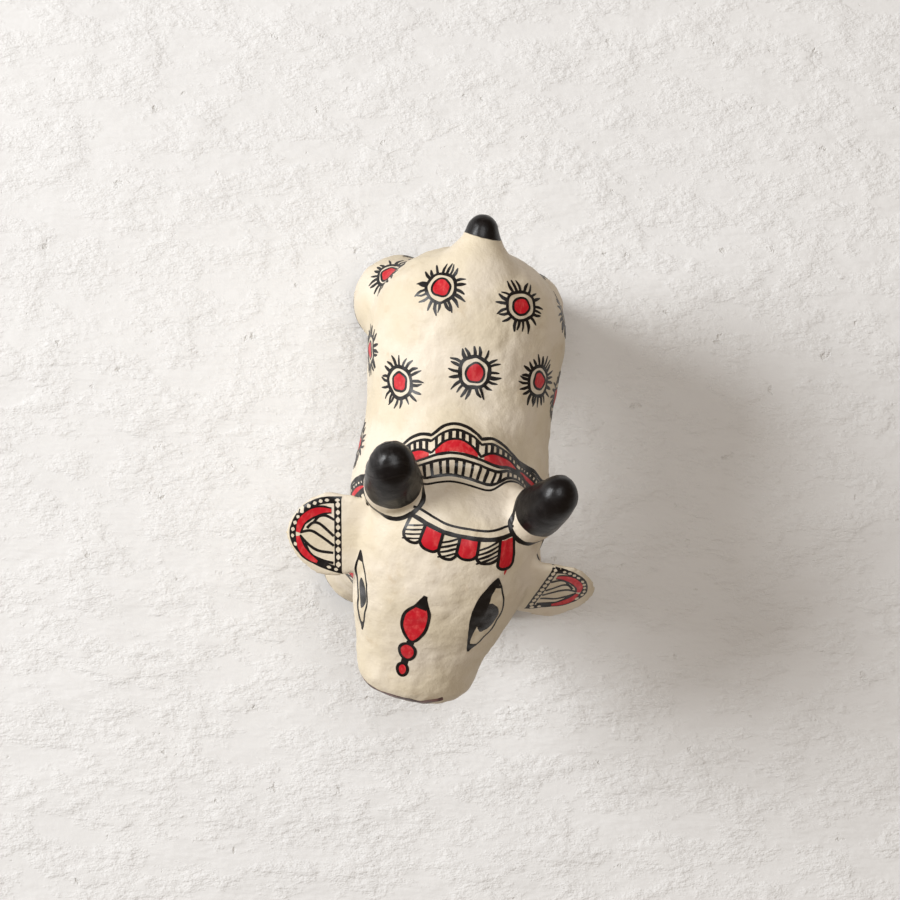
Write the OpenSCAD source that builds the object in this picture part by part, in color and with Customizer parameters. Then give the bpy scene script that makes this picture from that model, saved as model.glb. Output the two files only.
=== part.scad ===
// A painted paper bull: a hollow trunk and a hollow head, each moulded in two shell halves,
// with solid paper-pulp legs, horns, ears and tail glued on over bamboo pegs.
// Millimetres, +Z up. The bull stands on its four soles at z = 0 and faces -Y, so its own
// left side is at +X. The origin is under the middle of its bounding box.

/* [Trunk] */
// Length of the trunk from rump to chest
trunk_len = 94; // [79:1:113]
// Width of the trunk across the shoulders
shoulder_w = 54; // [46:1:65]
// Width of the trunk at the waist
waist_w = 50; // [42:1:60]
// Width of the trunk across the rump
rump_w = 53; // [45:1:64]
// Height of the trunk at the shoulders
shoulder_h = 54; // [46:1:65]
// Height of the trunk at the waist
waist_h = 50; // [42:1:60]
// Height of the trunk at the rump
rump_h = 52; // [44:1:62]
// Height of the middle of the trunk above the floor
trunk_mid_z = 57; // [48:1:68]
// Thickness of the moulded paper wall
skin = 3; // [2:0.25:4]

/* [Neck] */
// Slope of the neck above the level
neck_slope = 47; // [35:1:60]
// Length of the neck from the middle of the trunk to the middle of the skull
neck_len = 29; // [25:1:35]
// Diameter of the neck where it leaves the trunk
neck_base_d = 43; // [36:1:50]
// Diameter of the neck under the skull
neck_top_d = 36; // [31:1:43]
// Distance of the neck's lower end behind the chest
neck_back = 42; // [35:1:50]

/* [Head] */
// Length of the head from the back of the skull to the muzzle
head_len = 68; // [57:1:81]
// Width of the head between the ears
head_w = 46; // [39:1:55]
// Height of the head at the ears
head_h = 36; // [30:1:43]
// Width of the muzzle
muzzle_w = 29; // [24:1:35]
// Height of the muzzle
muzzle_h = 22; // [18:1:27]
// How far the face slopes below the level
head_pitch = 22; // [10:1:34]
// How far the head is turned towards the bull's right side
head_turn = 7; // [0:1:14]

/* [Horns] */
// Diameter of a horn at its base
horn_d = 16; // [13:0.5:19]
// Length of a horn above the skull
horn_len = 19; // [16:0.5:23]
// Radius of a horn's round tip
horn_tip_r = 4.6; // [3.5:0.1:5.5]
// Distance from the widest side of the head in to the middle of a horn's base
horn_in = 5.5; // [4.5:0.25:8]
// How far the horns lean back from upright
horn_lean = 20; // [10:1:35]

/* [Ears] */
// Length of an ear from the side of the head to its tip
ear_len = 19; // [16:0.5:23]
// Breadth of an ear at its widest
ear_w = 23; // [19:0.5:27]
// Thickness of an ear at its root
ear_t = 5; // [4:0.25:6]

/* [Legs] */
// Distance between the middles of the two front soles
front_stance_w = 42; // [35:1:50]
// Distance between the middles of the two hind soles
hind_stance_w = 38; // [32:1:46]
// Diameter of a sole
sole_d = 21; // [17:0.5:25]
// Diameter of a front leg at its top
front_leg_d = 25; // [21:0.5:30]
// Diameter of a hind leg at the haunch
haunch_d = 25.5; // [21:0.5:31]
// Distance between the middles of the left and right haunches
haunch_w = 32; // [26:1:38]
// How far the front soles reach ahead of the middle of their tops
front_step = 10; // [4:1:13]
// Distance from the chest back to the middle of the front legs' tops
front_leg_in = 12; // [8:1:18]
// Distance from the rump forward to the middle of the hind legs
hind_leg_in = 15.5; // [10:0.5:20]

/* [Tail] */
// Length of the tail stub from inside the rump to its tip
tail_len = 23; // [19:1:28]
// Diameter of the tail's round tip
tail_tip_d = 8.6; // [7:0.2:10]
// Height of the tail's root above the middle of the trunk
tail_rise = 13; // [9:1:17]

/* [Pegs and collar] */
// Diameter of the rolled-paper collar inside the neck joint
collar_d = 25; // [21:0.5:28]
// Length of the collar
collar_len = 16; // [12:1:20]
// Wall of the collar
collar_t = 2; // [1.5:0.25:3]
// Diameter of a leg peg
leg_peg_d = 6; // [4:0.5:7]
// Diameter of a horn peg and of the tail peg
small_peg_d = 3; // [2:0.25:4]
// Glue gap round each peg and round the collar
glue_gap = 0.1; // [0.05:0.05:0.3]

/* [Hidden] */

LEFT = 1;
RIGHT = -1;
paper = [0.87, 0.81, 0.69];
black = [0.09, 0.08, 0.09];
bamboo = [0.80, 0.66, 0.42];
kraft = [0.66, 0.55, 0.40];
bore_fn = 64;
far = 200;

// ---- lofts: a row of stations along an axis, each [along, side, up, half width, half height] ----

// A frame is [start point, axis, side direction, up direction]
function frame(start, axis, up) =
    let(a = axis / norm(axis), s = cross(up, a), side = s / norm(s)) [start, a, side, cross(a, side)];
function place(f, along, side = 0, up = 0) = f[0] + along * f[1] + side * f[2] + up * f[3];
function pitch_axis(slope, turn = 0) = [-sin(turn) * cos(slope), -cos(turn) * cos(slope), sin(slope)];

// Stations between the named ones follow a smooth curve through them
function tangent(rows, i) =
    let(a = rows[max(i - 1, 0)], b = rows[min(i + 1, len(rows) - 1)]) (b - a) / (b[0] - a[0]);
function station(rows, along, i = 0) =
    i < len(rows) - 2 && along > rows[i + 1][0] ? station(rows, along, i + 1) :
    let(a = rows[i], b = rows[i + 1], h = b[0] - a[0], t = (along - a[0]) / h)
    (1 + 2 * t) * (1 - t) ^ 2 * a + t * (1 - t) ^ 2 * h * tangent(rows, i)
    + t ^ 2 * (3 - 2 * t) * b + t ^ 2 * (t - 1) * h * tangent(rows, i + 1);

// Places along the axis, closer together over the round ends; a round of 0 gives a flat end
function places(a, b, round_a, round_b, steps) =
    let(n = 6, mid = max(2, steps), span = b - a - round_a - round_b) concat(
        round_a > 0 ? [for (k = [1 : n]) a + round_a * (1 - cos(90 * k / n))] : [a],
        [for (k = [1 : mid - 1]) a + round_a + span * k / mid],
        round_b > 0 ? [for (k = [0 : n - 1]) b - round_b * (1 - sin(90 * k / n))] : [b]);
function round_end(depth, r, power) = r <= 0 || depth >= r ? 1 : (1 - (1 - depth / r) ^ power) ^ (1 / power);
function squircle(c, e) = sign(c) * abs(c) ^ (2 / e);
// A ring's corners lie half a step off its middle planes, so a cut there meets no corner
function loft_ring(f, row, k, sides, e, lift) = [
    for (j = [0 : sides - 1])
        let(t = 360 * (j + 0.5) / sides, c = squircle(cos(t), e), s = squircle(sin(t), e))
        place(f, row[0], row[1] + k * row[3] * c, row[2] + k * (row[4] * s + lift * c ^ 2))];

// A loft is [frame, stations, [first round, last round, power], [sides, steps, squareness], edge lift]
function loft_points(l, inset = 0) =
    let(f = l[0], rows = l[1], a = rows[0][0] + (l[2][0] > 0 ? inset : 0),
        b = rows[len(rows) - 1][0] - (l[2][1] > 0 ? inset : 0),
        ra = max(l[2][0] - inset, 0), rb = max(l[2][1] - inset, 0), first = station(rows, a), last = station(rows, b))
    concat([place(f, a, first[1], first[2])],
        [for (s = places(a, b, ra, rb, l[3][1]))
            let(row = station(rows, s), k = round_end(s - a, ra, l[2][2]) * round_end(b - s, rb, l[2][2]),
                thin = [s, row[1], row[2], row[3] - inset, row[4] - inset])
            each loft_ring(f, thin, k, l[3][0], l[3][2], l[4])],
        [place(f, b, last[1], last[2])]);

module loft(l, inset = 0) {
    points = loft_points(l, inset);
    n = l[3][0];
    rings = (len(points) - 2) / n;
    last = len(points) - 1;
    polyhedron(points, concat(
        [for (j = [0 : n - 1]) [0, 1 + j, 1 + (j + 1) % n]],
        [for (i = [0 : rings - 2], j = [0 : n - 1])
            let(a = 1 + i * n + j, b = 1 + i * n + (j + 1) % n) each [[a, a + n, b + n], [a, b + n, b]]],
        [for (j = [0 : n - 1]) [last, last - n + (j + 1) % n, last - n + j]]));
}

// ---- the shapes that the pieces share ----

chest_y = -40;
rump_y = chest_y + trunk_len;
trunk_loft = [frame([0, rump_y, trunk_mid_z], [0, -1, 0], [0, 0, 1]), [
    [0, 0, 5, rump_w / 2 - 4, rump_h / 2 - 5],
    [trunk_len * 0.22, 0, 0, rump_w / 2, rump_h / 2],
    [trunk_len * 0.5, 0, -1, waist_w / 2, waist_h / 2],
    [trunk_len * 0.76, 0, 0, shoulder_w / 2, shoulder_h / 2],
    [trunk_len, 0, -2, shoulder_w / 2 - 4, shoulder_h / 2 - 3]], [20, 20, 2.25], [44, 12, 2.15], 0];

neck_frame = frame([0, chest_y + neck_back, trunk_mid_z + 1], pitch_axis(neck_slope), [0, 0, 1]);
neck_mid_d = (neck_base_d + neck_top_d) / 2;
neck_loft = [neck_frame, [
    [0, 0, 0, neck_base_d / 2, neck_base_d / 2],
    [neck_len * 0.55, 0, 0, neck_mid_d / 2, neck_mid_d / 2],
    [neck_len, 0, 0, neck_top_d / 2, neck_top_d / 2]], [0, 0, 2], [40, 8, 2], 0];

// The joint between head and body is a flat plane across the neck
joint_at = neck_len - 8;
seat = collar_len / 2;

// The skull's middle sits on the neck's upper end, and the head runs from behind it to the muzzle
skull_in = 14;
skull = place(neck_frame, neck_len);
head_axis = pitch_axis(-head_pitch, head_turn);
head_frame = frame(skull - skull_in * head_axis, head_axis, [0, 0, 1]);
face_len = head_len - skull_in;
ear_at = skull_in + face_len * 0.24;
head_rows = [
    [0, 0, 0, head_w / 2 - 6, head_h / 2 - 5],
    [skull_in * 0.7, 0, 0, head_w / 2 - 1.5, head_h / 2 - 0.5],
    [ear_at, 0, 0, head_w / 2, head_h / 2],
    [skull_in + face_len * 0.48, 0, -1, (head_w + muzzle_w) / 4 + 2.2, (head_h + muzzle_h) / 4 + 1.5],
    [skull_in + face_len * 0.75, 0, -2, muzzle_w / 2 + 2.6, muzzle_h / 2 + 1.5],
    [head_len, 0, -2, muzzle_w / 2, muzzle_h / 2]];
head_power = 2.2;
head_loft = [head_frame, head_rows, [15, 7, 2.2], [40, 10, head_power], 0];

// The head's surface at a place along it and a distance to one side, on top
function crown(along, side) =
    let(row = station(head_rows, along))
    place(head_frame, along, side, row[2] + row[4] * (1 - abs(side / row[3]) ^ head_power) ^ (1 / head_power));
function cheek(along, side, up) = place(head_frame, along, side * station(head_rows, along)[3], up);

// Each horn starts inside the skull: [side, lean outward, place along the head, further out, share of horn_d]
horn_sink = 5;
horn_full = horn_len + horn_sink;
function horn_axis(out) = [sin(out), sin(horn_lean), cos(horn_lean) * cos(out)];
function horn_loft(side, out, along, further, share) =
    let(axis = horn_axis(side * out) / norm(horn_axis(out)), r = horn_d / 2 * share,
        f = frame(crown(along, side * (head_w / 2 - horn_in + further)) - horn_sink * axis, axis, [0, 1, 0]))
    [f, [
        [0, 0, 0, r, r],
        [horn_full * 0.35, 0, -0.4, r - 0.3, r - 0.3],
        [horn_full * 0.7, 0, 0, r - 1.5 * share, r - 1.5 * share],
        [horn_full, 0, 1.4, horn_tip_r, horn_tip_r]], [0, horn_tip_r, 2], [32, 7, 2], 0];
horn_lofts = [horn_loft(LEFT, 19, 5.5, 1, 0.88), horn_loft(RIGHT, 6, 5.5, 0, 0.96)];

// Each ear starts inside the head: [side, how far its face tips forward, how far it droops, place along]
ear_sink = 6;
function ear_loft(side, tip_forward, droop, along, up) =
    let(axis = [side * cos(droop), -0.1, -sin(droop)],
        f = frame(cheek(along, side, up) - ear_sink * axis, axis, [0, -sin(tip_forward), cos(tip_forward)]),
        full = ear_len + ear_sink, tip_t = ear_t * 0.36)
    [f, [
        [0, 0, 0, ear_w / 2 - 2, ear_t / 2 + 0.5],
        [ear_sink + ear_len * 0.2, 0, 0, ear_w / 2 - 0.6, ear_t / 2],
        [ear_sink + ear_len * 0.45, 0, 0, ear_w / 2, ear_t / 2 - 0.7],
        [full, 0, 0, ear_w / 2 - 3, tip_t]], [0, ear_len * 0.5, 1.8], [30, 9, 2], 1.6];
ear_lofts = [ear_loft(LEFT, 49, 14, ear_at, 1), ear_loft(RIGHT, 16, 3, ear_at - 4.5, 4)];

// Legs stand on flat soles and end in a round top inside the trunk
sole_edge = 1.4;
leg_top = trunk_mid_z + 1;
front_y = chest_y + front_leg_in;
hind_y = rump_y - hind_leg_in;
function leg_loft(side, foot_x, foot_y, top_x, top_y, top_d, height, sides) =
    let(f = frame([side * foot_x, foot_y, 0], [0, 0, 1], [0, 1, 0]),
        dx = side * (top_x - foot_x), dy = top_y - foot_y, r = sole_d / 2)
    [f, [
        [0, 0, 0, r - sole_edge, r - sole_edge],
        [sole_edge, 0, 0, r - 0.3, r - 0.3],
        [sole_edge * 3, 0, 0, r, r],
        [height * 0.35, dx * 0.35, dy * 0.35, r - 0.2, r - 0.2],
        [height * 0.72, dx * 0.85, dy * 0.85, top_d / 2, top_d / 2],
        [height, dx, dy, top_d / 2 - 2, top_d / 2 - 2]], [0, 14, 2], [sides, 11, 2], 0];
front_top_x = shoulder_w / 2 - 12;
hip_shift = 2.5;
front_legs = [for (s = [LEFT, RIGHT])
    leg_loft(s, front_stance_w / 2, front_y - front_step, front_top_x, front_y, front_leg_d, leg_top, 30)];
hind_legs = [for (s = [LEFT, RIGHT])
    leg_loft(s, hind_stance_w / 2, hind_y + 2, haunch_w / 2 - s * hip_shift, hind_y, haunch_d, leg_top + 4, 32)];

tail_frame = frame([0, rump_y - 15, trunk_mid_z + tail_rise], pitch_axis(15, 180), [0, 0, 1]);
tail_r = tail_tip_d / 2;
tail_loft = [tail_frame, [
    [0, 0, -2, tail_r * 4, tail_r * 3],
    [tail_len * 0.4, 0, 0, tail_r * 2.7, tail_r * 2.2],
    [tail_len * 0.72, 0, 0, tail_r * 1.2, tail_r * 1.15],
    [tail_len, 0, 0, tail_r * 0.85, tail_r * 0.85]], [0, tail_r * 0.85, 2], [30, 9, 2], 0];

// The origin goes under the middle of the box round the ears, the muzzle and the tail
ear_x = [for (l = ear_lofts, p = loft_points(l)) p[0]];
muzzle_y = [for (p = loft_points(head_loft)) p[1]];
tail_y = [for (p = loft_points(tail_loft)) p[1]];
centre = [(min(ear_x) + max(ear_x)) / 2, (min(muzzle_y) + max(tail_y)) / 2, 0];

// ---- helpers ----

// Each peg: [start, axis], and how long it is
leg_peg_len = 30;
leg_peg_from = trunk_mid_z - shoulder_h / 2 - 11;
function leg_line(l) =
    let(a = station(l[1], leg_peg_from), b = station(l[1], leg_peg_from + leg_peg_len))
    frame(place(l[0], a[0], a[1], a[2]), place(l[0], b[0], b[1], b[2]) - place(l[0], a[0], a[1], a[2]), [0, 1, 0]);
horn_peg_len = 19;
tail_peg_len = 22;
peg_top_in_horn = horn_sink + 9;
tail_peg_end = tail_len - 5;
body_pegs = [for (l = concat(front_legs, hind_legs)) leg_line(l)];

module centred() { translate(-centre) children(); }

// One closed mesh of what it holds, so that only the bores cut into it afterwards stay round
module moulded() { resize([0, 0, 0]) children(); }

module onto(f, along) {
    p = place(f, along);
    multmatrix([for (i = [0 : 2]) [f[2][i], f[3][i], f[1][i], p[i]]]) children();
}

module rod(f, a, b, d) { onto(f, a) cylinder(d = d, h = b - a, $fn = bore_fn); }

module beyond(f, along) { onto(f, along) translate([-far, -far, 0]) cube([2 * far, 2 * far, far]); }

module side_half(side, at, turn) {
    translate([at[0], at[1], 0]) rotate(-turn)
        translate([side > 0 ? 0 : -far, -far, -far / 2]) cube([far, 2 * far, 2 * far]);
}

module body_form() {
    loft(trunk_loft);
    difference() { loft(neck_loft); beyond(neck_frame, joint_at); }
}

module head_form() {
    difference() {
        intersection() {
            union() { loft(head_loft); loft(neck_loft); }
            beyond(neck_frame, joint_at);
        }
        loft(trunk_loft);
    }
}

// The hollow of the trunk leaves a solid seat for the collar under the neck joint
module body_hollow() {
    difference() {
        loft(trunk_loft, skin);
        rod(neck_frame, joint_at - seat - skin, joint_at + far / 4, neck_base_d - 2 * skin);
    }
}

module head_hollow() {
    intersection() { loft(head_loft, skin); beyond(neck_frame, joint_at + seat + skin); }
}

module collar_bore() {
    rod(neck_frame, joint_at - seat, joint_at + seat, collar_d + 2 * glue_gap);
    rod(neck_frame, joint_at - seat - skin - 1, joint_at + seat + skin + 1, collar_d - 2 * collar_t);
}

module peg_bore(f, a, b, d) { rod(f, a, b, d + 2 * glue_gap); }

// ---- the pieces, one module each ----

module body_half(side) {
    color(paper) difference() {
        moulded() intersection() {
            difference() { body_form(); body_hollow(); }
            side_half(side, [0, 0], 0);
        }
        collar_bore();
        for (f = body_pegs) peg_bore(f, 0, leg_peg_len, leg_peg_d);
        peg_bore(tail_frame, tail_peg_end - tail_peg_len, tail_peg_end, small_peg_d);
    }
}

module head_half(side) {
    horn = horn_lofts[side > 0 ? 0 : 1][0];
    color(paper) difference() {
        moulded() intersection() {
            difference() { head_form(); head_hollow(); }
            side_half(side, skull, head_turn);
        }
        collar_bore();
        peg_bore(horn, peg_top_in_horn - horn_peg_len, peg_top_in_horn, small_peg_d);
    }
}

module neck_collar() {
    color(kraft) difference() {
        rod(neck_frame, joint_at - seat, joint_at + seat, collar_d);
        rod(neck_frame, joint_at - seat - 1, joint_at + seat + 1, collar_d - 2 * collar_t);
    }
}

module leg(l) {
    color(paper) difference() {
        moulded() difference() { loft(l); body_form(); }
        peg_bore(leg_line(l), 0, leg_peg_len, leg_peg_d);
    }
}

module leg_peg(l) { color(bamboo) rod(leg_line(l), 0, leg_peg_len, leg_peg_d); }

module horn(l) {
    color(black) difference() {
        moulded() difference() { loft(l); loft(head_loft); }
        peg_bore(l[0], 0, peg_top_in_horn, small_peg_d);
    }
}

module horn_peg(l) { color(bamboo) rod(l[0], peg_top_in_horn - horn_peg_len, peg_top_in_horn, small_peg_d); }

module ear(l) { color(paper) moulded() difference() { loft(l); loft(head_loft); } }

module tail() {
    color(paper) difference() {
        moulded() difference() { loft(tail_loft); body_form(); }
        peg_bore(tail_frame, 0, tail_peg_end, small_peg_d);
    }
}

module tail_peg() { color(bamboo) rod(tail_frame, tail_peg_end - tail_peg_len, tail_peg_end, small_peg_d); }

centred() body_half(LEFT);  // body_left_half
centred() body_half(RIGHT);  // body_right_half
centred() head_half(LEFT);  // head_left_half
centred() head_half(RIGHT);  // head_right_half
centred() neck_collar();
centred() leg(front_legs[0]);  // leg_front_left
centred() leg(front_legs[1]);  // leg_front_right
centred() leg(hind_legs[0]);  // leg_hind_left
centred() leg(hind_legs[1]);  // leg_hind_right
centred() leg_peg(front_legs[0]);  // leg_peg_front_left
centred() leg_peg(front_legs[1]);  // leg_peg_front_right
centred() leg_peg(hind_legs[0]);  // leg_peg_hind_left
centred() leg_peg(hind_legs[1]);  // leg_peg_hind_right
centred() horn(horn_lofts[0]);  // horn_left
centred() horn(horn_lofts[1]);  // horn_right
centred() horn_peg(horn_lofts[0]);  // horn_peg_left
centred() horn_peg(horn_lofts[1]);  // horn_peg_right
centred() ear(ear_lofts[0]);  // ear_left
centred() ear(ear_lofts[1]);  // ear_right
centred() tail();
centred() tail_peg();
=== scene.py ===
"""A painted paper bull, seen from above on a pale floor.

The paper body is one skin, cut into the pieces that the bull is moulded from. The painting on it is
thin raised brush work: every stroke is laid on the skin as a closed film of paint.
Lengths are in millimetres and MM turns them into metres. The bull faces -Y, left side at +X.
"""

import math
import random

import bpy
import numpy as np
from mathutils import Matrix, Vector, noise
from mathutils.bvhtree import BVHTree


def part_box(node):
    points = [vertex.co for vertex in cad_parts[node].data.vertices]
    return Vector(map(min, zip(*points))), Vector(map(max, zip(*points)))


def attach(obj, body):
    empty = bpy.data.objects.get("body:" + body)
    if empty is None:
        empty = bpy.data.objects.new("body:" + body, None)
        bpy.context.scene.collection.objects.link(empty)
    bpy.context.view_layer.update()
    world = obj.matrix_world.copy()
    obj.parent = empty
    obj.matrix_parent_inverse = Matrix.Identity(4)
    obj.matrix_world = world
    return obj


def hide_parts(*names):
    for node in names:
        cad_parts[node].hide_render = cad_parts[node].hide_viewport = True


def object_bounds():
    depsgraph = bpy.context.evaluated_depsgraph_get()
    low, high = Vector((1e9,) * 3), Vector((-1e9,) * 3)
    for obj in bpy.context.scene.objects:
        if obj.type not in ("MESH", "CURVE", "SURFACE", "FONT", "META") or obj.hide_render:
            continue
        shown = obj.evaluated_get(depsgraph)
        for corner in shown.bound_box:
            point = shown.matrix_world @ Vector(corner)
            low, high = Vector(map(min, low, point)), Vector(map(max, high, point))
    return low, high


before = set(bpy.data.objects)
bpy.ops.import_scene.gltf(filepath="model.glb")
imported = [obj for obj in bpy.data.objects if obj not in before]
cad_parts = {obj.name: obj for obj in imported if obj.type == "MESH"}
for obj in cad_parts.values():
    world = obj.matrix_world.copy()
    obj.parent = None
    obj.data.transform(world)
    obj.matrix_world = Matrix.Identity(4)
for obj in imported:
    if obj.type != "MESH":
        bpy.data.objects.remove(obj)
CAD_BOX = [list(corner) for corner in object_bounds()]
MM = 0.001
SEED = 11
random.seed(SEED)

# ---- camera, light and floor ----

AIM = Vector((0.3, 2.9, 56))
CAMERA_AWAY = 495.0
LENS = 73.3
CAMERA_ROLL = math.radians(5.9)
CAMERA_LEAN = math.radians(4.0)


def put_camera():
    across = Vector((math.cos(CAMERA_ROLL), math.sin(CAMERA_ROLL), 0))
    away = math.cos(CAMERA_LEAN) * Vector((0, 0, 1)) - math.sin(CAMERA_LEAN) * across
    right = (across - across.dot(away) * away).normalized()
    up = away.cross(right)
    data = bpy.data.cameras.new("camera")
    data.lens, data.sensor_width, data.clip_start = LENS, 36, 0.01
    camera = bpy.data.objects.new("camera", data)
    camera.matrix_world = Matrix.Translation((AIM + CAMERA_AWAY * away) * MM) @ Matrix(
        (right, up, away)).transposed().to_4x4()
    bpy.context.scene.collection.objects.link(camera)
    bpy.context.scene.camera = camera


def put_lamp(name, place, size, watts, colour):
    data = bpy.data.lights.new(name, "AREA")
    data.shape, data.size, data.energy, data.color = "DISK", size * MM, watts, colour
    lamp = bpy.data.objects.new(name, data)
    lamp.location = Vector(place) * MM
    lamp.rotation_euler = (Vector(place) - AIM).to_track_quat("Z", "Y").to_euler()
    bpy.context.scene.collection.objects.link(lamp)


def put_sky(strength, colour):
    world = bpy.data.worlds.new("room")
    world.use_nodes = True
    ground = world.node_tree.nodes["Background"]
    ground.inputs["Color"].default_value = (*colour, 1)
    ground.inputs["Strength"].default_value = strength
    bpy.context.scene.world = world


# ---- materials ----


class Value:
    """A shader socket that adds its own Math nodes when it is used in an expression."""

    def __init__(self, recipe, socket):
        self.recipe, self.socket = recipe, socket

    def _math(self, operation, a, b):
        return self.recipe.add("ShaderNodeMath", {"operation": operation}, {0: a, 1: b})

    def __add__(self, other):
        return self._math("ADD", self, other)

    def __sub__(self, other):
        return self._math("SUBTRACT", self, other)

    def __rsub__(self, other):
        return self._math("SUBTRACT", other, self)

    def __mul__(self, other):
        return self._math("MULTIPLY", self, other)

    __radd__, __rmul__ = __add__, __mul__


class Recipe:
    """One material: its tree, and the few ways that paints and papers are mixed in it."""

    def __init__(self, name, **shader):
        self.material = bpy.data.materials.new(name)
        self.material.use_nodes = True
        self.tree = self.material.node_tree
        self.shader = self.tree.nodes["Principled BSDF"]
        for socket, constant in shader.items():
            self.shader.inputs[socket.replace("_", " ")].default_value = constant
        self.spot = self.add("ShaderNodeTexCoord", {}, {}, "Object")

    def add(self, kind, settings, sockets, out=0):
        node = self.tree.nodes.new(kind)
        for name, setting in settings.items():
            setattr(node, name, setting)
        for name, value in sockets.items():
            if isinstance(value, Value):
                self.tree.links.new(value.socket, node.inputs[name])
            else:
                node.inputs[name].default_value = value
        return Value(self, node.outputs[out])

    def grain(self, size_mm, detail=2.0, rough=0.5, stretch=(1, 1, 1)):
        """Noise from 0 to 1 whose lumps are about that size."""
        spot = self.add("ShaderNodeVectorMath", {"operation": "MULTIPLY"}, {0: self.spot, 1: stretch})
        return self.add("ShaderNodeTexNoise", {}, {
            "Vector": spot, "Scale": 1000.0 / size_mm, "Detail": detail, "Roughness": rough})

    def between(self, value, low, high):
        """0 below low, 1 above high."""
        return self.add("ShaderNodeMapRange", {"interpolation_type": "SMOOTHSTEP"}, {
            "Value": value, "From Min": low, "From Max": high})

    def mix(self, factor, a, b):
        paint = [c if isinstance(c, Value) else (*c, 1.0) for c in (a, b)]
        return self.add("ShaderNodeMix", {"data_type": "RGBA"}, {0: factor, 6: paint[0], 7: paint[1]}, 2)

    def height_along(self, start, way):
        """How far a point lies past start, along way, in millimetres."""
        moved = self.add("ShaderNodeVectorMath", {"operation": "SUBTRACT"}, {
            0: self.spot, 1: Vector(start) * MM})
        return self.add("ShaderNodeVectorMath", {"operation": "DOT_PRODUCT"}, {
            0: moved, 1: Vector(way) / MM}, "Value")

    def bump(self, height, depth_mm, strength=1.0):
        return self.add("ShaderNodeBump", {}, {
            "Height": height, "Distance": depth_mm * MM, "Strength": strength}, "Normal")

    def finish(self, **sockets):
        for name, value in sockets.items():
            self.tree.links.new(value.socket, self.shader.inputs[name.replace("_", " ")])
        return self.material


CREAM = (0.690, 0.605, 0.455)
CREAM_LIGHT = (0.780, 0.700, 0.580)
CREAM_WORN = (0.540, 0.410, 0.250)
INK = (0.0050, 0.0040, 0.0045)
INK_THIN = (0.028, 0.024, 0.024)
RED = (0.560, 0.008, 0.020)
RED_THIN = (0.740, 0.095, 0.090)


def paper_tone(r):
    """Cream wash over pulp: soft clouds, thin places and a few fibres."""
    clouds = r.mix(r.between(r.grain(16, 3), 0.35, 0.68), CREAM, CREAM_LIGHT)
    thin = r.between(r.grain(5, 4, 0.6), 0.56, 0.78) * 0.38
    fibres = r.between(r.grain(0.9, 3, 0.7, (1, 2.2, 1.4)), 0.66, 0.80) * 0.30
    return r.mix(fibres, r.mix(thin, clouds, CREAM_WORN), CREAM_WORN)


def paper_relief(r):
    return r.grain(3.4, 4, 0.62) * 0.7 + r.grain(1.1, 3, 0.6) * 0.3


def ink_tone(r):
    return r.mix(r.between(r.grain(2.2, 4, 0.65), 0.50, 0.85), INK, INK_THIN)


def cream_paper():
    r = Recipe("cream_painted_paper", Specular_IOR_Level=0.42)
    return r.finish(Base_Color=paper_tone(r), Roughness=r.grain(6, 3) * 0.22 + 0.46,
                    Normal=r.bump(paper_relief(r), 0.42, 0.9))


def black_ink():
    r = Recipe("black_ink_lines", Specular_IOR_Level=0.45)
    return r.finish(Base_Color=ink_tone(r), Roughness=r.grain(1.6, 3) * 0.25 + 0.26,
                    Normal=r.bump(r.grain(0.5, 2), 0.03))


def red_wash():
    r = Recipe("red_wash", Specular_IOR_Level=0.42)
    streaks = r.between(r.grain(1.5, 4, 0.65, (1.0, 0.45, 1.0)), 0.42, 0.74)
    return r.finish(Base_Color=r.mix(streaks * 0.8, RED, RED_THIN), Roughness=r.grain(2, 3) * 0.25 + 0.28,
                    Normal=r.bump(r.grain(0.7, 3), 0.04))


def eye_grey():
    r = Recipe("eye_grey", Specular_IOR_Level=0.5)
    tone = r.mix(r.between(r.grain(2.4, 3), 0.35, 0.7), (0.012, 0.012, 0.014), (0.060, 0.060, 0.066))
    return r.finish(Base_Color=tone, Roughness=r.grain(1.5) * 0.2 + 0.16, Normal=r.bump(r.grain(0.6), 0.02))


def eye_white():
    r = Recipe("eye_white", Specular_IOR_Level=0.42)
    tone = r.mix(r.between(r.grain(2.0, 3), 0.3, 0.75), (0.75, 0.67, 0.52), (0.62, 0.52, 0.37))
    return r.finish(Base_Color=tone, Roughness=r.grain(1.5) * 0.2 + 0.35, Normal=r.bump(r.grain(0.7), 0.03))


def nose_brown():
    r = Recipe("nose_brown", Specular_IOR_Level=0.45)
    tone = r.mix(r.between(r.grain(3.0, 3), 0.38, 0.68), (0.055, 0.020, 0.018), (0.240, 0.110, 0.095))
    return r.finish(Base_Color=tone, Roughness=r.grain(1.5) * 0.25 + 0.3, Normal=r.bump(r.grain(0.6), 0.03))


def dipped(name, start, way, edge_wave=0.35):
    """Cream paper below a plane, glossy black paint above it, with a hand-painted edge."""
    r = Recipe(name, Specular_IOR_Level=0.28, Coat_Roughness=0.16)
    wave = (r.grain(3.5, 2) - 0.5) * (2 * edge_wave)
    black = r.between(r.height_along(start, way) + wave, -0.12, 0.12)
    relief = paper_relief(r) * (1 - black * 0.45)
    rough = (r.grain(4, 3) * 0.20 + 0.46) * (1 - black) + (r.grain(2.5, 4) * 0.24 + 0.26) * black
    return r.finish(Base_Color=r.mix(black, paper_tone(r), ink_tone(r)), Roughness=rough,
                    Coat_Weight=black * 0.14, Normal=r.bump(relief, 0.42, 0.9))


def bamboo_cane():
    r = Recipe("bamboo_cane", Specular_IOR_Level=0.4)
    grain = r.grain(1.0, 4, 0.6, (3.0, 3.0, 0.25))
    tone = r.mix(r.between(grain, 0.35, 0.7), (0.46, 0.28, 0.11), (0.66, 0.46, 0.22))
    return r.finish(Base_Color=tone, Roughness=grain * 0.3 + 0.42, Normal=r.bump(grain, 0.08))


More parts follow.
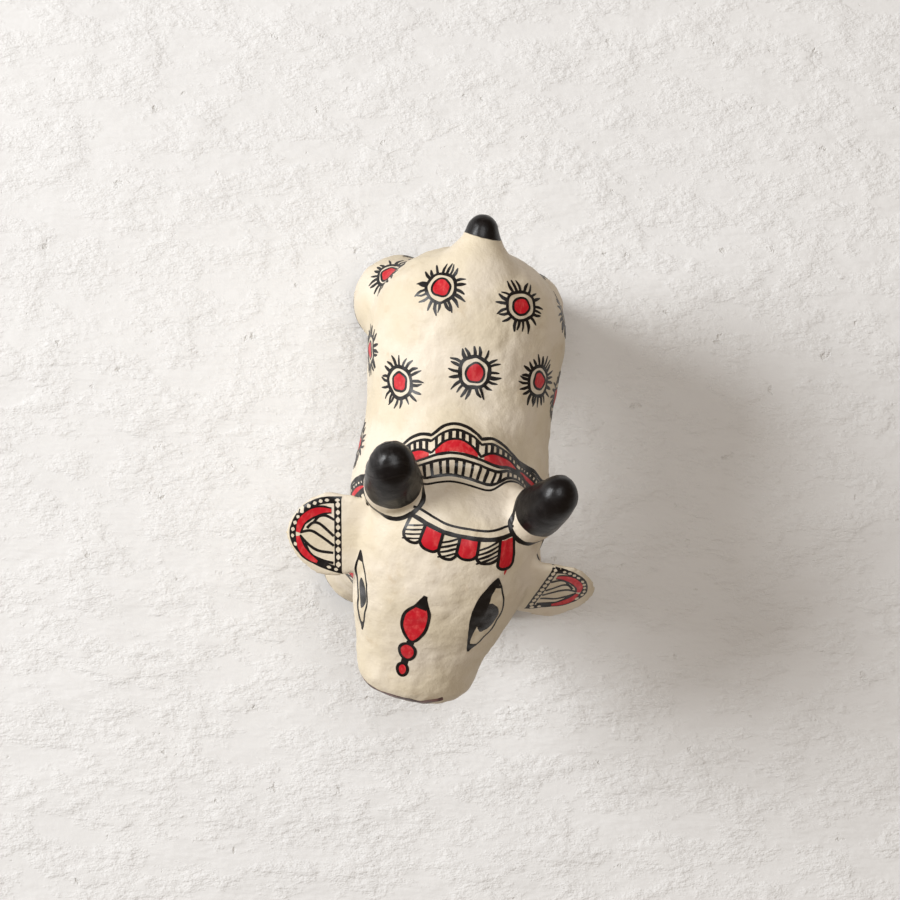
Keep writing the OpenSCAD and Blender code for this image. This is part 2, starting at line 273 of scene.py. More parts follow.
def kraft_roll():
    r = Recipe("kraft_roll", Specular_IOR_Level=0.3)
    fibre = r.grain(0.8, 4, 0.7, (1.0, 2.5, 1.0))
    tone = r.mix(r.between(fibre, 0.3, 0.75), (0.33, 0.21, 0.11), (0.50, 0.35, 0.20))
    return r.finish(Base_Color=tone, Roughness=fibre * 0.2 + 0.7, Normal=r.bump(fibre, 0.06))


def pale_floor():
    """Rough white plaster: broad trowel sweeps, ridges and a few pits, with painted shade in the pits."""
    r = Recipe("pale_plaster", Specular_IOR_Level=0.25)
    sweeps = r.between(r.grain(46, 5, 0.6, (0.6, 1.5, 1.0)), 0.36, 0.70)
    ridges = r.between(r.grain(15, 5, 0.68, (0.8, 1.4, 1.0)), 0.44, 0.66)
    pits = r.between(r.grain(7, 4, 0.6), 0.66, 0.74)
    relief = sweeps * 0.55 + ridges * 0.30 + r.grain(3.5, 4, 0.6) * 0.10 - pits * 0.22
    clean = r.mix(r.grain(60, 3), (0.80, 0.80, 0.80), (0.85, 0.85, 0.845))
    # The pits are also painted a darker grey: painted shade in the pits
    tone = r.mix(pits * 0.5, clean, (0.66, 0.65, 0.62))
    return r.finish(Base_Color=tone, Roughness=r.grain(20, 2) * 0.1 + 0.75, Normal=r.bump(relief, 1.5, 0.8))


# ---- the paper skin ----

OUTER = ["body_left_half", "body_right_half", "head_left_half", "head_right_half", "leg_front_left",
         "leg_front_right", "leg_hind_left", "leg_hind_right", "horn_left", "horn_right", "ear_left",
         "ear_right", "tail"]
# Width of one quad of the skin, and how thick the paper is inside the trunk and the head
SKIN_CELL = 0.75
WALL = 2.4
# The skin's least distance from the sides and the top of the CAD box
BOX_GAP = 0.15
# Creases are filled in rounds of smoothing passes. A place this far below its neighbours is fully hollow
CREASE_ROUNDS, CREASE_PASSES, CREASE_PULL = 7, 10, 0.5
HOLLOW_MM = 0.035
# Lumps of the pulp: (size, height, which noise)
LUMPS = [(15, 0.40, 1), (6.5, 0.24, 2), (3.2, 0.24, 3), (1.7, 0.12, 4)]


def coords(mesh):
    flat = np.empty(len(mesh.vertices) * 3)
    mesh.vertices.foreach_get("co", flat)
    return flat.reshape(-1, 3) / MM


def set_coords(mesh, points):
    mesh.vertices.foreach_set("co", (points * MM).ravel())
    mesh.update()


def skin_normals(mesh):
    flat = np.empty(len(mesh.vertices) * 3, np.float32)
    mesh.vertex_normals.foreach_get("vector", flat)
    return flat.reshape(-1, 3).astype(float)


class Links:
    """Which vertices are neighbours, and averages over them."""

    def __init__(self, mesh):
        pairs = np.empty(len(mesh.edges) * 2, np.int64)
        mesh.edges.foreach_get("vertices", pairs)
        self.a, self.b = pairs.reshape(-1, 2).T
        self.n = len(mesh.vertices)
        ends = np.bincount(self.a, minlength=self.n) + np.bincount(self.b, minlength=self.n)
        self.degree = np.maximum(ends, 1)

    def mean(self, x):
        cols = [np.bincount(self.a, x[self.b, k], self.n) + np.bincount(self.b, x[self.a, k], self.n)
                for k in range(x.shape[1])]
        return np.stack(cols, 1) / self.degree[:, None]

    def islands(self):
        label = np.arange(self.n)
        while True:
            low = np.minimum(label[self.a], label[self.b])
            after = label.copy()
            np.minimum.at(after, self.a, low)
            np.minimum.at(after, self.b, low)
            after = after[after]
            if (after == label).all():
                return label
            label = after


def remeshed(points, faces, cell):
    """The outside of what the faces enclose, as one even net of quads."""
    mesh = bpy.data.meshes.new("net")
    mesh.from_pydata((points * MM).tolist(), [], faces)
    thing = bpy.data.objects.new("net", mesh)
    bpy.context.scene.collection.objects.link(thing)
    net = thing.modifiers.new("net", "REMESH")
    net.mode, net.voxel_size, net.adaptivity = "VOXEL", cell * MM, 0
    made = bpy.data.meshes.new_from_object(thing.evaluated_get(bpy.context.evaluated_depsgraph_get()))
    bpy.data.objects.remove(thing)
    label = Links(made).islands()
    keep = label == np.bincount(label).argmax()
    number = np.cumsum(keep) - 1
    kept = [[int(number[v]) for v in p.vertices] for p in made.polygons if keep[p.vertices[0]]]
    return coords(made)[keep], kept


def gather_outer():
    points, faces, owner = [], [], []
    for i, name in enumerate(OUTER):
        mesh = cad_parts[name].data
        start = sum(len(p) for p in points)
        points.append(coords(mesh))
        faces += [[start + v for v in p.vertices] for p in mesh.polygons]
        owner += [i] * len(mesh.polygons)
    return np.concatenate(points), faces, owner


def rounded_creases(mesh, links, share):
    """Pulp fills the creases: only hollow places move, and they grow into round fillets."""
    for _ in range(CREASE_ROUNDS):
        points = coords(mesh)
        up = ((links.mean(points) - points) * skin_normals(mesh)).sum(1, keepdims=True)
        hollow = np.clip(up / HOLLOW_MM, 0, 1)
        for _ in range(3):
            hollow = np.maximum(hollow, links.mean(hollow))
        weight = np.clip(hollow * share, 0, 1) * CREASE_PULL
        for _ in range(CREASE_PASSES):
            points += weight * (links.mean(points) - points)
        set_coords(mesh, points)


def lump(point, size, seed):
    return noise.noise(Vector(point) / size + Vector((seed * 7.3, seed * 3.1, seed * 5.7)))


def lumpy(points, normals, share):
    """Hand-laid pulp: broad dents, thumb-sized lumps and small ones."""
    out = np.array([sum(height * lump(p, size, seed) for size, height, seed in LUMPS) for p in points])
    return points + normals * out[:, None] * share


def make_skin():
    points, faces, owner = gather_outer()
    cad = BVHTree.FromPolygons(points.tolist(), faces)
    net_points, net_faces = remeshed(points, faces, SKIN_CELL)
    mesh = bpy.data.meshes.new("skin")
    mesh.from_pydata((net_points * MM).tolist(), [], net_faces)
    links = Links(mesh)
    whose = np.array([owner[cad.find_nearest(p)[2]] for p in net_points.tolist()])
    vote = np.eye(len(OUTER))[whose]
    small_nodes = [i for i, name in enumerate(OUTER) if name.startswith(("horn", "ear", "tail"))]
    small = vote[:, small_nodes].sum(1, keepdims=True)
    for _ in range(8):
        vote = links.mean(vote)
    near_small = small.copy()
    for _ in range(6):
        near_small = np.maximum(near_small, links.mean(near_small))
    rounded_creases(mesh, links, 1 - 0.75 * near_small)
    points = coords(mesh)
    soft = 0.5 * (1 - 0.6 * near_small)
    for _ in range(10):
        points += soft * (links.mean(points) - points)
    for _ in range(3):
        points += 0.4 * (links.mean(points) - points)
        points -= 0.42 * (links.mean(points) - points)
    set_coords(mesh, points)
    points = lumpy(points, skin_normals(mesh), 1 - 0.45 * near_small)
    low, high = np.array(CAD_BOX) / MM
    points = np.clip(points, low + BOX_GAP, high - BOX_GAP)
    points[points[:, 2] < 0.45, 2] = 0
    set_coords(mesh, points)
    return mesh, points, net_faces, vote


class Skin:
    """The finished surface that paint is laid on."""

    def __init__(self, points, faces, normals):
        self.tree = BVHTree.FromPolygons(points.tolist(), faces)
        self.points, self.faces, self.normals = points, faces, normals

    def touch(self, point):
        place, _, face, _ = self.tree.find_nearest(point)
        corners = self.faces[face]
        gap = [1 / (1e-6 + (place - Vector(self.points[v])).length_squared) for v in corners]
        normal = sum((g * Vector(self.normals[v]) for g, v in zip(gap, corners)), Vector()).normalized()
        return place, normal

    def shoot(self, start, way):
        return self.tree.ray_cast(start, way)[0]


def boundary(faces):
    edges = {(f[i - 1], f[i]) for f in faces for i in range(len(f))}
    return [(a, b) for a, b in edges if (b, a) not in edges]


def new_piece(name, points, faces, normals, material, slot, *replaced):
    mesh = bpy.data.meshes.new(name)
    mesh.from_pydata((np.asarray(points) * MM).tolist(), [], faces)
    mesh.polygons.foreach_set("use_smooth", [True] * len(mesh.polygons))
    if normals is not None:
        mesh.normals_split_custom_set_from_vertices(np.asarray(normals).tolist())
    mesh.materials.append(material)
    piece = bpy.data.objects.new(name, mesh)
    bpy.context.scene.collection.objects.link(piece)
    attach(piece, "root")
    if replaced:
        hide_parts(*replaced)
    return piece


def cut_piece(name, faces, points, normals, material, slot, hollow):
    """One piece of the skin, closed: a paper wall where it is hollow, a plug where it is solid."""
    used = sorted({v for f in faces for v in f})
    number = {v: i for i, v in enumerate(used)}
    outer = [[number[v] for v in f] for f in faces]
    rim = boundary(outer)
    p, n = points[used], normals[used]
    if hollow:
        k = len(used)
        p, n = np.concatenate([p, p - WALL * n]), np.concatenate([n, -n])
        inner = [[v + k for v in reversed(f)] for f in outer]
        closed = outer + inner + [[b, a, a + k, b + k] for a, b in rim]
    else:
        edge = [a for a, _ in rim]
        p = np.concatenate([p, [p[edge].mean(0) - 1.5 * n[edge].mean(0)]])
        n = np.concatenate([n, [-n[edge].mean(0)]])
        closed = outer + [[b, a, len(used)] for a, b in rim]
    return new_piece(f"{name}_paper", p, closed, n, material, slot, name)


# ---- brush work ----

# How far a film's edges and its keel go under the skin, the step along a stroke, and how much a brush spreads
EDGE_DEPTH = 0.06
ROOT_DEPTH = 0.35
STEP = 0.5
SPREAD = 1.12


class Film:
    """Brush work of one colour: closed films of paint that follow the skin."""

    def __init__(self, skin, lift):
        self.skin, self.lift, self.points, self.normals, self.faces = skin, lift, [], [], []

    def lay(self, rows, loop=False):
        """rows[i] holds points across the film. Its edges go under the skin, and so does its keel."""
        rings = []
        mid, half = len(rows) // 2, len(rows[0]) // 2
        _, out = self.skin.touch(rows[mid][half])
        along, over = rows[mid][half] - rows[mid - 1][half], rows[mid][-1] - rows[mid][0]
        if out.cross(along).dot(over) < 0:
            rows = [row[::-1] for row in rows]
        for row in rows:
            start, last = len(self.points), len(row) - 1
            for j, spot in enumerate(row):
                place, normal = self.skin.touch(spot)
                u = 2 * j / last - 1
                rise = -EDGE_DEPTH if j in (0, last) else self.lift * (1 - 0.3 * u * u)
                self.points.append(place + rise * normal)
                self.normals.append(normal)
            place, normal = self.skin.touch(row[last // 2])
            self.points.append(place - ROOT_DEPTH * normal)
            self.normals.append(-normal)
            rings.append(list(range(start, start + last + 2)))
        pairs = list(zip(rings, rings[1:])) + ([(rings[-1], rings[0])] if loop else [])
        for a, b in pairs:
            self.faces += [[a[j], b[j], b[(j + 1) % len(b)], a[(j + 1) % len(a)]] for j in range(len(a))]
        if not loop:
            self.faces += [rings[0], rings[-1][::-1]]

    def strip(self, one, other):
        """The area between two lines of points on the skin, with as many points in each."""
        across = across_count(max((a - b).length for a, b in zip(one, other)))
        self.lay([[a.lerp(b, u) for u in across] for a, b in zip(one, other)])

    def stroke(self, line, width, start=1.0, end=1.0, loop=False, shake=0.10):
        """A brush line. Its ends narrow to the given shares of its width."""
        line = evenly(line, STEP, loop)
        n, seed = len(line), random.random() * 50
        rows = []
        for i, spot in enumerate(line):
            t = i / (n - 1)
            before = line[i - 1] if i or loop else spot
            after = line[(i + 1) % n] if i < n - 1 or loop else spot
            _, normal = self.skin.touch(spot)
            side = normal.cross(after - before).normalized()
            first = start + (1 - start) * min(t / 0.4, 1) ** 0.6
            last = end + (1 - end) * min((1 - t) / 0.5, 1) ** 0.7
            wide = width(t) if callable(width) else width * min(first, last)
            wide *= SPREAD + shake * noise.noise(Vector((seed, i * STEP / 2.2, 0))) * 1.6
            rows.append((spot, side, wide / 2))
        across = across_count(max(2 * half for _, _, half in rows))
        self.lay([[spot + side * half * (2 * u - 1) for u in across] for spot, side, half in rows], loop)

    def dot(self, middle, way, length, width):
        """A round or oval touch of the brush."""
        def across(t):
            return max(width * math.sqrt(max(1 - (2 * t - 1) ** 2, 0)), 0.12)
        self.stroke([middle - way * length / 2, middle + way * length / 2], across, shake=0.05)

    def piece(self, name, material, slot):
        return new_piece(name, self.points, self.faces, self.normals, material, slot)


def across_count(width):
    inner = 3 + 2 * int(width / 1.1)
    return [0, 0.08] + [0.08 + 0.84 * k / (inner - 1) for k in range(1, inner - 1)] + [0.92, 1]


def evenly(line, step, loop=False):
    """The same line with evenly spaced points."""
    line = list(line) + ([line[0]] if loop else [])
    reach = np.concatenate([[0], np.cumsum([(b - a).length for a, b in zip(line, line[1:])])])
    count = max(int(round(reach[-1] / step)), 3)
    flat = np.array([tuple(p) for p in line])
    where = np.linspace(0, reach[-1], count + 1)[: count if loop else count + 1]
    return [Vector([np.interp(s, reach, flat[:, k]) for k in range(3)]) for s in where]


def curve(points, loop=False, fine=8):
    """A smooth curve through points of any number of coordinates."""
    p = np.array(points, float)
    n = len(p)
    made = []
    for i in range(n if loop else n - 1):
        a, b, c, d = [p[k % n] if loop else p[min(max(k, 0), n - 1)] for k in (i - 1, i, i + 1, i + 2)]
        for s in range(fine):
            t = s / fine
            made.append(0.5 * (2 * b + (c - a) * t + (2 * a - 5 * b + 4 * c - d) * t * t
                               + (3 * b - a - 3 * c + d) * t ** 3))
    return made if loop else made + [p[-1]]


# ---- charts: where a place in a drawing lies on the skin ----


def ray_chart(skin, start, way, up):
    """Places are (distance along way, angle round it from up)."""
    side = up.cross(way).normalized()
    top = way.cross(side)

    def place(spot):
        angle = math.radians(spot[1])
        return skin.shoot(start + way * spot[0], math.cos(angle) * top + math.sin(angle) * side)
    return place


def cone_chart(skin, start, way, up):
    """Places are (angle from way, azimuth round it from up)."""
    side = up.cross(way).normalized()
    top = way.cross(side)

    def place(spot):
        lean, turn = math.radians(spot[0]), math.radians(spot[1])
        out = math.cos(turn) * top + math.sin(turn) * side
        return skin.shoot(start, math.cos(lean) * way + math.sin(lean) * out)
    return place


def plane_chart(skin, middle, normal, first, above=12, reach=6):
    """Places are (along first, across it) on a flat sheet over the skin."""
    second = normal.cross(first).normalized()
    first = second.cross(normal).normalized()

    def place(spot):
        flat = middle + first * spot[0] + second * spot[1]
        hit = skin.shoot(flat + normal * above, -normal)
        return hit if hit and abs((hit - flat).dot(normal)) < reach else skin.touch(flat)[0]
    return place


# ---- the painting ----

TRUNK_MIDDLE = Vector((1.9, 0, 57))
SKULL = Vector((1.9, -14.4, 79.2))
HEAD_WAY = Vector((-0.113, -0.920, -0.375)).normalized()
NECK_WAY = Vector((0, -math.cos(math.radians(47)), math.sin(math.radians(47))))
GARLAND_FROM = Vector((1.9, -11.6, 62))
UP = Vector((0, 0, 1))

# Suns on the trunk: (angle from the top towards the left side, place along Y)
SUNS = [(-23, 44), (26, 41.5), (2, 23), (-44, 19), (47, 23), (-79, 27), (-89, 2), (76, 42), (-84, 48),
        (-118, 14), (-121, 38), (82, 20), (92, -3), (118, 34), (120, 9), (164, 22), (-160, 4), (178, 41)]
# Suns on the rump: (towards the left side, up) from the middle of the trunk's rear
RUMP_SUNS = [(20, -13), (-19, -11)]


def sun(ink, red, place):
    """A red heart in a black line, a bare ring, a black ring and short rays."""
    lean, tall = random.uniform(0, math.pi), random.uniform(0.94, 1.08)
    heart, ring = random.uniform(2.25, 2.6), random.uniform(3.8, 4.15)

    def oval(radius, wave, turn):
        rim = []
        for k in range(36):
            t = 2 * math.pi * k / 36
            r = radius * (1 + wave * noise.noise(Vector((math.cos(t) * 1.3, math.sin(t) * 1.3, turn))))
            x, y = r * math.cos(t) * tall, r * math.sin(t) / tall
            rim.append((x * math.cos(lean) - y * math.sin(lean), x * math.sin(lean) + y * math.cos(lean)))
        return rim
    wobble = random.random() * 40
    inner = [place(p) for p in oval(heart, 0.22, wobble)]
    outer = [place(p) for p in oval(ring, 0.14, wobble + 3)]
    red.strip([inner[k] for k in range(1, 18)], [inner[-k] for k in range(1, 18)])
    ink.stroke(inner, random.uniform(0.42, 0.68), loop=True)
    ink.stroke(outer, random.uniform(0.70, 1.00), loop=True, shake=0.2)
    count = random.randint(21, 24)
    for k in range(count):
        t = 2 * math.pi * (k + random.uniform(-0.22, 0.22)) / count
        bend, length = random.uniform(-0.16, 0.16), random.uniform(2.4, 3.4)
        at = [(ring + s * length, t + bend * s * s) for s in (0.0, 0.5, 1.0)]
        ray = [place((r * math.cos(a), r * math.sin(a))) for r, a in at]
        ink.stroke(ray, random.uniform(0.68, 0.95), 1.0, 0.32, shake=0.2)


def paint_suns(skin, ink, red):
    for angle, y in SUNS:
        a = math.radians(angle)
        spot = skin.shoot(TRUNK_MIDDLE + Vector((0, y, 0)), Vector((math.sin(a), 0, math.cos(a))))
        _, normal = skin.touch(spot)
        sun(ink, red, plane_chart(skin, spot, normal, normal.cross(Vector((0, 1, 0)))))
    for x, z in RUMP_SUNS:
        spot = skin.shoot(TRUNK_MIDDLE + Vector((0, 30, 0)), Vector((x, 35, z)).normalized())
        _, normal = skin.touch(spot)
        sun(ink, red, plane_chart(skin, spot, normal, Vector((1, 0, 0))))


LOBES = 14
LOBE_TURN = 360 / LOBES
FIRST_CUSP = 8.5
LADDER_BARS = 84
# The garland's top sits a little to the right of the back of the neck
GARLAND_TURN = -8.0
# The garland's inner and outer line: (turn from its top, inner angle, outer angle)
GARLAND_EDGES = curve([(-24, 54, 85), (0, 55.5, 89.5), (24, 54, 85), (34, 62, 83), (44, 66.5, 84),
                       (60, 69, 88), (90, 75, 97), (135, 73, 93), (180, 70, 90), (225, 73, 93)], fine=16)


def garland_place(chart, v, azimuth):
    """v runs from the garland's inner line, 0, to its outer line, 1. Azimuth 0 is the back of the neck."""
    turn = abs((azimuth - GARLAND_TURN + 180) % 360 - 180)
    turns, inner, outer = np.array(GARLAND_EDGES).T
    low, high = np.interp(turn, turns, inner), np.interp(turn, turns, outer)
    return chart((low + (high - low) * v, azimuth))


def scallop(middle, dip, power):
    def at(azimuth):
        t = ((azimuth - FIRST_CUSP) / LOBE_TURN) % 1.0
        return middle - dip * abs(2 * t - 1) ** power
    return at


def paint_garland(skin, ink, red):
    chart = cone_chart(skin, GARLAND_FROM, NECK_WAY, UP)

    def round_line(v, width):
        turns = [FIRST_CUSP + k * 2.0 for k in range(180)]
        ink.stroke([garland_place(chart, v(a) if callable(v) else v, a) for a in turns], width, loop=True)

    rim, dashes, moons = scallop(0.985, 0.150, 2.2), scallop(0.870, 0.150, 2.2), scallop(0.700, 0.215, 2.2)
    for v, width in [(rim, 1.00), (dashes, 0.80), (moons, 0.75), (0.435, 0.95), (0.330, 0.85), (0.115, 0.75),
                     (0.015, 0.55)]:
        round_line(v, width)
    for lobe in range(LOBES):
        start = FIRST_CUSP + lobe * LOBE_TURN
        turns = [start + LOBE_TURN * (0.07 + 0.86 * k / 20) for k in range(21)]
        red.strip([garland_place(chart, 0.455, a) for a in turns],
                  [garland_place(chart, max(moons(a) - 0.005, 0.457), a) for a in turns])
        for k in range(7):
            a = start + LOBE_TURN * (0.10 + 0.80 * k / 6) + random.uniform(-0.3, 0.3)
            low, top = moons(a), dashes(a)
            ink.stroke([garland_place(chart, low + (top - low) * s, a) for s in (0.0, 0.5, 1.0)],
                       random.uniform(0.75, 1.00), shake=0.15)
    for k in range(LADDER_BARS):
        a = (k + random.uniform(-0.12, 0.12)) * 360 / LADDER_BARS
        bar = [garland_place(chart, v, a) for v in (0.115, 0.22, 0.330)]
        ink.stroke(bar, random.uniform(0.70, 0.95), shake=0.15)


def paint_forehead(face, ink, red):
    """A drop that hangs over two round beads."""
    drop = [(16.2, -12.8), (19.0, -18.6), (22.2, -26.6), (26.4, -28.6), (29.6, -23.4), (30.8, -17.0),
            (29.6, -11.0), (26.2, -5.4), (21.4, -5.2), (18.2, -9.4)]
    outline = [face(p) for p in curve(drop, True)]
    half, black_tip = len(outline) // 2, 7
    red.strip(outline[black_tip:half], outline[-black_tip:half - len(outline):-1][:half - black_tip])
    ink.stroke(outline, 0.85, loop=True)
    ink.stroke([face(p) for p in curve([(15.4, -12.2), (17.2, -13.0), (19.6, -14.4)])],
               lambda t: 1.0 + 2.4 * t, shake=0.05)
    for along, turn, size in [(34.6, -19.8, 5.4), (40.9, -22.9, 4.0)]:
        spots = [face((along + math.cos(a) * size / 2, turn + math.sin(a) * size * 1.75))
                 for a in (2 * math.pi * k / 40 for k in range(40))]
        red.strip(spots[1:20], spots[-1:-20:-1])
        ink.stroke(spots, 0.85, loop=True)
    for a, b in [((31.0, -17.8), (32.1, -18.4)), ((37.2, -21.2), (38.9, -22.0))]:
        ink.stroke([face(a), face(b)], 1.9, shake=0.05)


def paint_eye(face, films, back, front, lid_side, lid_bulge, low_bulge, lid_width):
    """Bulges are in degrees round the head; lid_side is which way the heavy lid lies."""
    ink, white, grey = films
    across = 26

    def line(bulge, early):
        points = []
        for k in range(across + 1):
            t = k / across
            arch = math.sin(math.pi * t ** early)
            points.append((back[0] + (front[0] - back[0]) * t,
                           back[1] + (front[1] - back[1]) * t + bulge * arch))
        return points

    lid = [face(p) for p in line(lid_side * lid_bulge, 0.85)]
    low = [face(p) for p in line(-lid_side * low_bulge, 0.95)]
    white.strip(lid[1:-1], low[1:-1])
    middle = [(a + b) / 2 for a, b in zip(lid, low)]
    iris_a, iris_b = int(across * 0.33), int(across * 0.72)
    rows_lid, rows_low = [], []
    for k in range(iris_a, iris_b + 1):
        t = (k - iris_a) / (iris_b - iris_a)
        swell = math.sqrt(max(1 - (2 * t - 1) ** 2, 0.02))
        rows_lid.append(middle[k].lerp(lid[k], 0.70 * swell))
        rows_low.append(middle[k].lerp(low[k], 0.94 * swell))
    grey.strip(rows_lid, rows_low)
    inner = []
    for k, (a, b) in enumerate(zip(lid, low)):
        share = 0.25 + 0.75 * math.sin(math.pi * min(0.12 + k / across, 1) ** 0.75) ** 1.3
        corner = 1.5 * max(1 - k / across / 0.40, 0) ** 0.6
        inner.append(a.lerp(b, min(lid_width * max(share, corner), 0.92)))
    ink.strip(lid[:-1], inner[:-1])
    ink.stroke(lid, 0.75, 0.6, 0.9)
    ink.stroke(low, 0.42, 1.0, 1.0)
    for k, end in ((3, 0), (across - 3, across)):
        ink.strip([lid[k], lid[(k + end) // 2], lid[end]], [low[k], low[(k + end) // 2], low[end]])


def paint_headband(face, ink, red):
    """A plain band between the horns, with six blocks hanging from it."""
    top = curve([(-6.3, -41), (-5.3, -24), (-4.5, -6), (-4.5, 12), (-4.9, 29), (-6.4, 48)], fine=12)
    n = len(top) - 1

    def at(t, down):
        k = min(max(t, 0), 1) * n
        i = min(int(k), n - 1)
        along, turn = top[i] + (top[i + 1] - top[i]) * (k - i)
        return face((along + down, turn))

    steps = [k / 40 for k in range(41)]
    ink.stroke([at(t, 0.0) for t in steps], 0.60)
    ink.stroke([at(t, 1.9) for t in steps], 1.10)
    depth = [5.8, 5.8, 6.3, 5.4, 6.0, 8.2]
    edges = [0.02, 0.17, 0.34, 0.50, 0.685, 0.87, 1.0]
    for block in range(6):
        a, b = edges[block], edges[block + 1]
        long = depth[block]
        sag = [(t / 8, 2.0 + long - 1.3 * abs(2 * t / 8 - 1) ** 3) for t in range(9)]
        low = [at(a + (b - a) * t, d) for t, d in sag]
        high = [at(a + (b - a) * t, 2.2) for t, _ in sag]
        if block % 2:
            red.strip(high, low)
        else:
            for k in range(4):
                d = 3.0 + k * (long - 1.2) / 4
                edge = (b - a) * 0.04
                slant = [at(a + edge, d + 1.6), at((a + b) / 2, d + 0.6), at(b - edge, d - 0.6)]
                ink.stroke(slant, random.uniform(0.45, 0.65), 0.8, 0.8, shake=0.2)
        ink.stroke([at(a, 2.2), at(a, 2.0 + long * 0.5)] + low + [at(b, 2.0 + long * 0.5), at(b, 2.2)], 0.80)
    drip = at(0.94, 2.0 + depth[5])
    red.stroke([drip, drip + HEAD_WAY * 1.7], 0.7, 1.0, 0.3)


def paint_nose(face, muzzle_end, nose, ink):
    """A brown line over the muzzle's edge, two nostrils and a mouth."""
    bridge = curve([(50.2, -84), (51.2, -60), (51.0, -30), (50.9, 0), (50.6, 28), (48.4, 50)])
    nose.stroke([face(p) for p in bridge], 3.0, 0.5, 0.4, shake=0.2)
    for side in (-1, 1):
        ink.stroke([muzzle_end(p) for p in curve([(side * 6.6, -0.6), (side * 5.6, 1.4), (side * 3.6, 1.0)])],
                   1.5, 0.5, 0.4)
    mouth = curve([(-9.0, -2.6), (-5.0, -5.4), (0.0, -6.2), (5.0, -5.4), (9.0, -2.6)])
    ink.stroke([muzzle_end(p) for p in mouth], 0.8, 0.4, 0.4)


# Radius of the ring round each horn
HORN_RING = {"left": 9.0, "right": 9.4}


def paint_horn_ring(skin, ink, base, way, radius):
    """A black ring round the foot of a horn, a little below its cream collar, tilted with the skull."""
    _, skull_out = skin.touch(base + Vector((0, -14, 0)))
    tilt = (way * 1.6 + skull_out).normalized()
    first = tilt.cross(Vector((0, 1, 0))).normalized()
    second = tilt.cross(first)
    spots = []
    for k in range(72):
        a = 2 * math.pi * k / 72
        out = math.cos(a) * first + math.sin(a) * second
        spots.append(skin.touch(base + way * 1.0 + out * radius)[0])
    for _ in range(12):
        spots = [(spots[k - 1] + spot + spots[(k + 1) % len(spots)]) / 3 for k, spot in enumerate(spots)]
    ink.stroke(spots, 1.2, loop=True, shake=0.16)


# Ear drawing: (out from the root line, towards the back), in millimetres
EAR_RIM = [(0, 10.6), (4.6, 10.6), (8.6, 9.6), (12.2, 7.4), (14.7, 4.0), (15.9, 0.0), (14.7, -3.6),
           (12.0, -6.2), (8.2, -8.5), (4.2, -10.0), (0, -11.0)]
# Dots that are left out of the rim, where the front crescent lies
EAR_BARE = range(11, 16)
EAR_PETALS = [[(8.4, 3.4), (7.0, 5.0), (5.0, 5.3), (2.4, 4.2)],
              [(10.5, 1.7), (8.8, 3.2), (6.8, 3.0), (4.6, 1.3), (2.6, -0.4)],
              [(12.6, 0.4), (9.4, 1.0), (6.4, -0.5), (2.6, -3.0)],
              [(12.7, -0.4), (10.2, -2.8), (7.2, -4.5), (2.8, -5.0)],
              [(11.2, -2.4), (9.6, -5.4), (6.4, -7.0), (2.8, -7.8)]]


def paint_ear(place, films):
    ink, red, cream = films
    rim = curve(EAR_RIM, fine=6)
    middle = np.array([3.2, 0.0])
    rim_3d = [place(p) for p in rim]
    inner = []
    for p in rim:
        to_middle = middle - p
        inner.append(p + to_middle / np.linalg.norm(to_middle) * 2.1)
    inner_3d = [place(p) for p in inner]
    ink.strip(rim_3d, inner_3d)
    root = [(0.15, 10.4 - 21.2 * k / 20) for k in range(21)]
    ink.strip([place(p) for p in root], [place((2.5, b * 0.93)) for _, b in root])
    dashes = 18
    for k in range(dashes):
        if k in EAR_BARE:
            continue
        i = int((k + 0.9) * (len(rim) - 1) / (dashes + 0.6))
        spot = (rim_3d[i] + inner_3d[i]) / 2
        way = (rim_3d[min(i + 1, len(rim) - 1)] - rim_3d[i - 1]).normalized()
        cream.dot(spot, way, random.uniform(1.0, 1.3), random.uniform(0.80, 1.0))
    for k in range(9):
        b = 8.6 - 17.0 * k / 8
        a, c = place((1.3, b * 0.97 + 0.8)), place((1.3, b * 0.97 - 0.8))
        cream.dot((a + c) / 2, (c - a).normalized(), random.uniform(1.35, 1.7), random.uniform(1.0, 1.3))
    for line in EAR_PETALS:
        ink.stroke([place(p) for p in curve(line)], 0.72)
    back = [place(p) for p in curve([(13.2, 0.4), (12.2, 3.4), (9.6, 5.6), (6.4, 6.7), (3.2, 6.7)])]
    front = [place(p) for p in curve([(13.3, -0.6), (12.4, -3.6), (10.4, -5.9), (7.6, -7.6)])]
    for line, full in ((back, 1.75), (front, 1.35)):
        ink.stroke(line, lambda t: 1.3 + full * math.sin(math.pi * (0.12 + 0.80 * t)))
        red.stroke(line, lambda t: 0.4 + full * math.sin(math.pi * (0.12 + 0.80 * t)))


# ---- build ----

bpy.context.scene.view_settings.view_transform = "Standard"
put_camera()
put_sky(0.17, (1.0, 0.68, 0.38))
put_lamp("window_left", (-1400, 260, 1020), 820, 30.0, (0.97, 0.985, 1.0))
put_lamp("soft_above", (20, 160, 1150), 620, 4.4, (0.96, 0.98, 1.0))

cream, black = cream_paper(), black_ink()
# The way each horn points
horn_way = {"left": Vector((0.324, 0.340, 0.883)), "right": Vector((-0.105, 0.342, 0.934))}
horn_base = {}
for side, way in horn_way.items():
    low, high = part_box(f"horn_peg_{side}")
    horn_base[side] = (low + high) / 2 / MM + way * 0.5
tail_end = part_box("tail")[1] / MM
